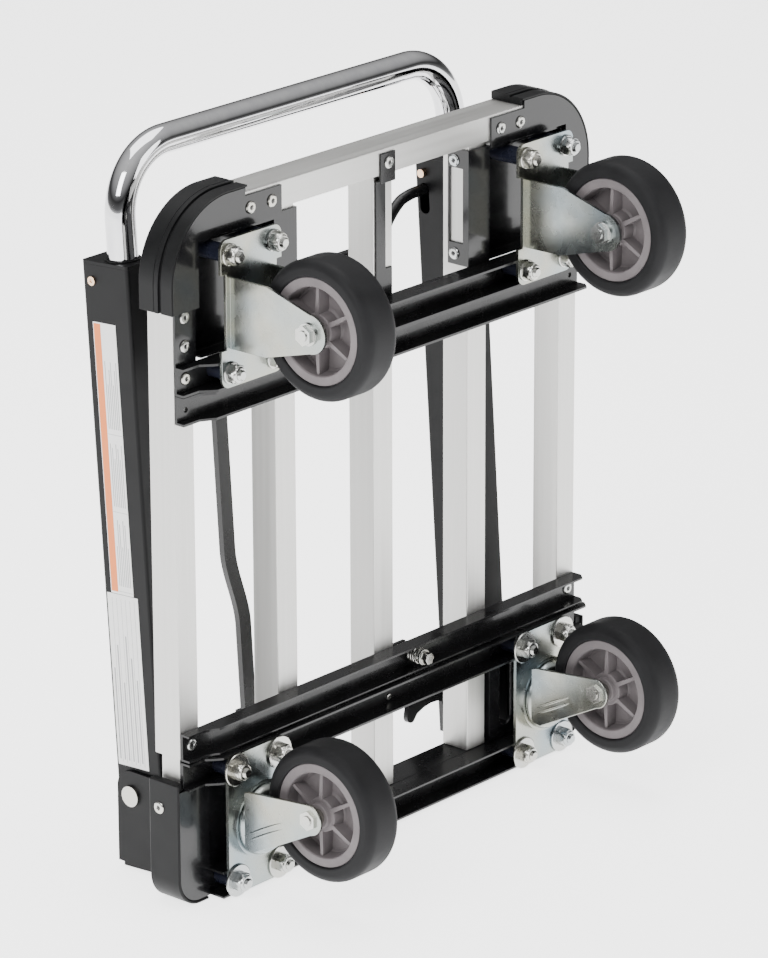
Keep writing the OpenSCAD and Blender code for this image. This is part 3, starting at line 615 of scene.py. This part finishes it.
def make_studs(node, washer_r, nut_across, nut_high, washer_t):
    """Threaded studs with a nut and washer that bear on a caster plate facing -Y."""
    forward = Vector((0, -1, 0))
    mesh = bmesh.new()
    for i, (low, high) in enumerate(islands(node)):
        x, z = (low.x + high.x) / 2, (low.z + high.z) / 2
        tip = Vector((x, low.y, z))
        stud_r = 4 * MM
        lathe(mesh, threaded(high.y - low.y, stud_r), tip, forward, segments=28, closed=False)
        seat = high.y - low.y - (high.y - PLATE_FACE_Y)
        washer = [(-seat, stud_r), (-seat, washer_r - 0.3 * MM), (-seat + 0.3 * MM, washer_r)]
        washer += [(-seat + washer_t - 0.4 * MM, washer_r), (-seat + washer_t, washer_r - 0.6 * MM)]
        washer += [(-seat + washer_t, stud_r)]
        lathe(mesh, washer, tip, forward, segments=56)
        nut_low = -seat + washer_t
        nut_top = nut_low + nut_high
        hexagon(mesh, tip, forward, nut_across, nut_low, nut_top, phase=0.6 * i)
        collar = [(nut_top - 0.2 * MM, stud_r + 2.2 * MM), (nut_top + 1.2 * MM, stud_r + 1.7 * MM)]
        collar += [(nut_top + 1.6 * MM, stud_r + 0.9 * MM), (nut_top + 1.6 * MM, stud_r - 0.4 * MM)]
        collar += [(nut_top - 0.2 * MM, stud_r)]
        lathe(mesh, collar, tip, forward, segments=40)
    piece = from_bmesh(node + "_threaded", mesh, smooth_angle=28)
    dress(piece, node)
    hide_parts(node)


def make_rivets(node):
    """Countersunk rivet heads; a black cone in each centre recess is painted shade of the hole."""
    bright, dark = bmesh.new(), bmesh.new()
    for low, high in islands(node):
        extent = high - low
        middle = (low + high) / 2
        if extent.x < extent.y:
            axis = Vector((math.copysign(1, middle.x), 0, 0))
            if body_of(node) == "deck_frame":
                axis = -axis
            thick, radius = extent.x, extent.y / 2
        else:
            axis = Vector((0, -1, 0))
            thick, radius = extent.y, extent.x / 2
        half = thick / 2
        head = [(-half, 0.0), (-half, radius), (half - 0.7 * MM, radius)]
        head += [(half - 0.1 * MM, radius * 0.86), (half, radius * 0.74), (half, radius * 0.42)]
        head += [(half - 0.25 * MM, radius * 0.36)]
        head += [(half - 0.9 * MM, radius * 0.30), (half - 0.9 * MM, 0.0)]
        lathe(bright, head, middle, axis, segments=40, closed=False)
        # painted shade: a black cone that fills the centre recess, where only shade falls
        shade_plug = [(half - 0.95 * MM, radius * 0.27), (half - 0.35 * MM, radius * 0.24)]
        shade_plug += [(half - 0.2 * MM, radius * 0.12), (half - 0.2 * MM, 0.0)]
        lathe(dark, shade_plug, middle, axis, segments=24, closed=False)
    head_piece = from_bmesh(node + "_heads", bright)
    dress(head_piece, node)
    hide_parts(node)
    # the centres take the black channel enamel as painted shade
    shade_plug_piece = from_bmesh(node + "_painted_shade_centres", dark)
    dress(shade_plug_piece, node, slot="black_channel")


make_studs("swivel_bolts", 12.3 * MM, 13 * MM, 6.4 * MM, 1.8 * MM)
make_studs("rigid_bolts", 8 * MM, 13 * MM, 6.4 * MM, 1.8 * MM)
make_rivets("base_rivets")
make_rivets("deck_rivets")

# ---- grip, release bar, spring, forks and labels ----


def make_grip():
    """The chromed U, one hollow tube bent twice. Its measures are in mm."""
    radius, wall = 11.1, 1.5
    leg_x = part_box("grip_tube")[1].x / MM - radius
    mid_y = -10.3
    start, top, bend = 28.0, 478.0, 48.0
    corners = [on_handle(-leg_x, mid_y, start), on_handle(-leg_x, mid_y, top)]
    corners += [on_handle(leg_x, mid_y, top), on_handle(leg_x, mid_y, start)]
    path = rounded_path(corners, bend * MM, steps=28)
    mesh = bmesh.new()
    tube(mesh, path, radius * MM, sides=64, inner=(radius - wall) * MM)
    piece = from_bmesh("grip_tube_chromed", mesh)
    dress(piece, "grip_tube")
    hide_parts("grip_tube")


def make_release_bar():
    """One bent rod, swept through the same path as the CAD bar."""
    radius = 4.3 * MM
    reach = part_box("release_bar")[1].x / MM
    bar_y = 8
    rest, drop = 374.2, 343.0  # heights of its ends and of its middle, mm
    half = [(reach, rest), (145, rest), (131, rest - 6), (113, drop + 5.5), (97, drop)]
    corners = [on_handle(-x, bar_y, z) for x, z in half]
    corners += [on_handle(x, bar_y, z) for x, z in reversed(half)]
    mesh = bmesh.new()
    tube(mesh, smooth_path(corners), radius, sides=28)
    piece = from_bmesh("release_bar_bent", mesh)
    dress(piece, "release_bar")
    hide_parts("release_bar")


def smooth_path(corners, cut=0.32, rounds=3):
    """Cuts the corners of a path so that it bends smoothly, its ends kept."""
    longest = 7 * MM
    points = corners
    for _ in range(rounds):
        finer = [points[0]]
        for a, b in zip(points, points[1:]):
            trim = min(cut, longest / (b - a).length)
            finer += [a.lerp(b, trim), a.lerp(b, 1 - trim)]
        points = finer + [points[-1]]
        cut *= 0.8
    return points


def make_spring():
    """Helix in place of the stack of rings."""
    low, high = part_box("latch_spring")
    wire = 0.6 * MM
    middle = (low + high) / 2
    turns, steps = 4.5, 144
    radius = (high.x - low.x) / 2 - wire
    points = []
    for k in range(steps + 1):
        share = k / steps
        turn = 2 * math.pi * turns * share
        x = middle.x + radius * math.cos(turn)
        y = high.y - wire - share * (high.y - low.y - 2 * wire)
        z = middle.z + radius * math.sin(turn)
        points.append(Vector((x, y, z)))
    mesh = bmesh.new()
    tube(mesh, points, wire, sides=10)
    piece = from_bmesh("latch_spring_coil", mesh)
    dress(piece, "latch_spring")
    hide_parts("latch_spring")


def leg_outline(dome_y, dome_z, axle, boss):
    """A swivel fork's leg in the Y-Z plane: wide at the dome, round at the axle."""
    start = [(dome_y, dome_z - 12 * MM), (dome_y, dome_z + 29 * MM)]
    start += [(dome_y - 4 * MM, dome_z + 30.5 * MM)]
    turn = [(axle.y + a, axle.z + b) for a, b in arc(0, 0, boss, 84, 262, 14)]
    end = [(dome_y - 9 * MM, dome_z - 15.5 * MM), (dome_y - 3 * MM, dome_z - 14.5 * MM)]
    return start + turn + end


def make_fork(name):
    """Domed raceway and two pressed legs with stiffening ridges."""
    node = "fork_" + name
    low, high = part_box(node)
    middle = Vector(((low.x + high.x) / 2, high.y, JOINTS[name + "_swivel"]["pos_m"][2]))
    axle = centre("fork_axle_" + name)
    half, sheet, boss = (high.x - low.x) / 2, 2.5 * MM, 11.6 * MM
    outline = leg_outline(middle.y - 4.6 * MM, middle.z, axle, boss)
    mesh = bmesh.new()
    for end in (1, -1):
        outer, inner = middle.x + end * half, middle.x + end * (half - sheet)
        a = ring(mesh, [Vector((inner, y, z)) for y, z in outline])
        b = ring(mesh, [Vector((outer, y, z)) for y, z in outline])
        bridge(mesh, a, b)
        mesh.faces.new(a)
        mesh.faces.new(list(reversed(b)))
    legs = from_bmesh(node + "_legs", mesh)
    round_edges(legs, 0.7 * MM, segments=3)
    dress(legs, node)
    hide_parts(node)
    # the raceway's profile as (forward of the plate, radius) in mm
    dome_mm = [(0.0, 7.0), (0.0, 26.4), (1.2, 26.9), (2.4, 26.7), (4.2, 25.8), (6.0, 24.6)]
    dome_mm += [(7.0, 22.6), (7.15, 20.0), (6.6, 18.0), (6.6, 12.4), (7.2, 11.2), (7.2, 7.0)]
    mesh = bmesh.new()
    profile = [(along * MM, radius * MM) for along, radius in dome_mm]
    lathe(mesh, profile, middle, Vector((0, -1, 0)), segments=96)
    for end in (1, -1):
        face = middle.x + end * (half - 0.7 * MM)
        for drop in (0, 5 * MM):
            top = Vector((face, middle.y - 8 * MM, middle.z - 7 * MM + drop))
            foot = Vector((face, axle.y + 22 * MM, axle.z - 12.5 * MM + drop))
            bead(mesh, top, foot, 1.5 * MM)
    piece = from_bmesh(node + "_dome", mesh, smooth_angle=40)
    dress(piece, node)


def bead(mesh, start, end, radius, steps=12, sides=20):
    """A rounded ridge from one point to another, tapered to both ends."""
    rows = []
    side = Vector((1, 0, 0))
    other = (end - start).normalized().cross(side).normalized()
    for k in range(steps + 1):
        point = start.lerp(end, k / steps)
        grow = math.sin(math.pi * (0.06 + 0.88 * k / steps)) ** 0.5
        rows.append(ring(mesh, [
            point + (side * math.cos(t) * 0.8 + other * math.sin(t)) * radius * grow
            for t in (2 * math.pi * i / sides for i in range(sides))
        ]))
    for a, b in zip(rows, rows[1:]):
        bridge(mesh, a, b)
    mesh.faces.new(rows[-1])
    mesh.faces.new(list(reversed(rows[0])))


def panel_sheet(name, boxes, lift, material=None, replaces=False):
    """Thin printed rectangles on the left post's outer face, given as (y, z) corners in mm."""
    post_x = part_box("label_panels")[1].x
    clear = 0.05 * MM
    mesh = bmesh.new()
    outward = Vector((-1, 0, 0))
    for y0, z0, y1, z1 in boxes:
        corners = [on_handle(0, y, z) for y, z in ((y0, z0), (y1, z0), (y1, z1), (y0, z1))]
        face = [Vector((post_x, c.y, c.z)) + outward * clear for c in corners]
        back = ring(mesh, face)
        front = ring(mesh, [p + outward * (lift * MM) for p in face])
        bridge(mesh, back, front)
        mesh.faces.new(front)
        mesh.faces.new(list(reversed(back)))
    piece = from_bmesh(name, mesh)
    dress(piece, "label_panels", material=material)
    if replaces:
        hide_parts("label_panels")


def make_labels():
    """Generic panels: a plain coloured band and abstract bars where a real truck is printed."""
    strip = (-13.1, 153.6, 9.1, 356)
    plate = (-17.0, 21.5, 13.5, 153.2)
    panel_sheet("label_film", [strip, plate], 0.14, replaces=True)
    panel_sheet("label_band", [(1.9, 155.2, 8.5, 355)], 0.17, ORANGE_INK)
    bars = []
    for k, z0 in enumerate((158, 218, 276)):
        for row in range(7):
            y, z = row * 1.8, z0 + 2
            long = 44 if (row + k) % 3 else 30
            bars.append((0.2 - y, z, -0.5 - y, z + long + 3 * ((row * 5 + k) % 3)))
        bars.append((-12.6, z0 - 2.2, 1.4, z0 - 1.9))
    for row, reach in enumerate((70, 88, 60, 96, 80, 64)):
        y = row * 4.4
        bars.append((11.4 - y, 26, 10.2 - y, 26 + reach))
        bars.append((8.9 - y, 24, 8.6 - y, 150))
    panel_sheet("label_bars", bars, 0.17, GREY_INK)


make_grip()
make_release_bar()
make_spring()
for fork_name in SIDES:
    make_fork(fork_name)
make_labels()

# ---- everything that keeps its CAD shape with rounded edges ----

EDGE_MM = {
    "aluminium_rail": 0.5,
    "black_channel": 0.5,
    "black_gloss_housing": 0.6,
    "charcoal_plastic": 1.0,
    "black_post_paint": 0.6,
    "zinc_plate": 0.5,
    "bright_fastener": 0.3,
    "dark_spacer": 0.3,
    "brass_screw": 0.3,
}
OWN_SHAPE = {"grip_tube", "release_bar", "latch_spring", "label_panels", "fork_left", "fork_right"}
OWN_SHAPE |= {"swivel_bolts", "rigid_bolts", "base_rivets", "deck_rivets"}
OWN_SHAPE |= {kind + "_" + name for kind in ("tyre", "wheel") for name in WHEELS}
for node_name in sorted(set(NODES) - OWN_SHAPE):
    slot_name = SLOT_OF[node_name]
    grain = CROSS_ALUMINIUM if node_name == "end_bar" else None
    soften(node_name, EDGE_MM[slot_name] * MM, material=grain)

# ---- stage, light and camera ----

FLOOR_HALF = 14
FLOOR_GLOW = 2.6
# the photo's view, as fitted to it
AZIMUTH_DEG, ELEVATION_DEG, ROLL_DEG = -48.55, 19.39, -0.20
TARGET = Vector((0.01716, 0.0292, 0.25971))
DISTANCE = 3.9097
FOCAL_MM = 199.646
MIDDLE = (0.0, 0.0, 0.28)  # what the lights point at


def make_floor():
    """A pale sheet with a glow of its own, so that it runs into the white background."""
    mesh = bmesh.new()
    bmesh.ops.create_grid(mesh, x_segments=1, y_segments=1, size=FLOOR_HALF)
    floor = from_bmesh("floor", mesh)
    finish = Finish("pale_floor", (0.88, 0.88, 0.88), roughness=0.9)
    finish.colours(finish.noise((3, 3, 3)), [(0.2, (0.87, 0.87, 0.87)), (0.8, (0.89, 0.89, 0.89))])
    finish.set("Emission Color", (1, 1, 1, 1))
    finish.set("Emission Strength", FLOOR_GLOW)
    floor.data.materials.append(finish.material)


def softbox(name, location, target, width, height, watts, tint=(1, 1, 1)):
    light = bpy.data.lights.new(name, "AREA")
    light.shape = "RECTANGLE"
    light.size = width
    light.size_y = height
    light.energy = watts
    light.color = tint
    holder = bpy.data.objects.new(name, light)
    holder.location = location
    holder.rotation_euler = (Vector(target) - Vector(location)).to_track_quat("-Z", "Y").to_euler()
    bpy.context.scene.collection.objects.link(holder)


def make_world():
    """A studio sky, dark just above the horizon, for chrome and paint to reflect."""
    world = bpy.data.worlds.new("studio")
    world.use_nodes = True
    tree = world.node_tree
    background = tree.nodes["Background"]
    place = tree.nodes.new("ShaderNodeTexCoord")
    split = tree.nodes.new("ShaderNodeSeparateXYZ")
    ramp = tree.nodes.new("ShaderNodeValToRGB")
    stops = [(0.0, 0.95), (0.47, 0.90), (0.52, 0.20), (0.60, 0.05), (0.70, 0.40), (1.0, 1.0)]
    elements = ramp.color_ramp.elements
    while len(elements) < len(stops):
        elements.new(0.5)
    for element, (position, level) in zip(elements, stops):
        element.position = position
        element.color = (level, level, level, 1)
    spread = tree.nodes.new("ShaderNodeMapRange")
    spread.inputs["From Min"].default_value = -1
    tree.links.new(place.outputs["Generated"], split.inputs["Vector"])
    tree.links.new(split.outputs["Z"], spread.inputs["Value"])
    tree.links.new(spread.outputs["Result"], ramp.inputs["Fac"])
    tree.links.new(ramp.outputs["Color"], background.inputs["Color"])
    background.inputs["Strength"].default_value = 1.0
    bpy.context.scene.world = world


def make_camera():
    azimuth, elevation, roll = (math.radians(v) for v in (AZIMUTH_DEG, ELEVATION_DEG, ROLL_DEG))
    flat = math.cos(elevation)
    back = Vector((math.sin(azimuth) * flat, -math.cos(azimuth) * flat, math.sin(elevation)))
    right = Vector((math.cos(azimuth), math.sin(azimuth), 0))
    up = back.cross(right)
    turned_right = right * math.cos(roll) + up * math.sin(roll)
    turned_up = up * math.cos(roll) - right * math.sin(roll)
    turn = Matrix((turned_right, turned_up, back)).transposed().to_4x4()
    lens = bpy.data.cameras.new("camera")
    lens.lens = FOCAL_MM
    lens.sensor_width = 36
    lens.clip_end = 60
    camera = bpy.data.objects.new("camera", lens)
    camera.matrix_world = Matrix.Translation(TARGET + back * DISTANCE) @ turn
    bpy.context.scene.collection.objects.link(camera)
    bpy.context.scene.camera = camera


make_floor()
make_world()
softbox("key", (-2.6, -0.6, 2.2), MIDDLE, 1.6, 1.6, 70)
softbox("fill", (1.2, -3.0, 1.4), MIDDLE, 1.4, 1.8, 34)
softbox("overhead", (0.2, 0.4, 2.8), MIDDLE, 2.2, 2.2, 60)
make_camera()
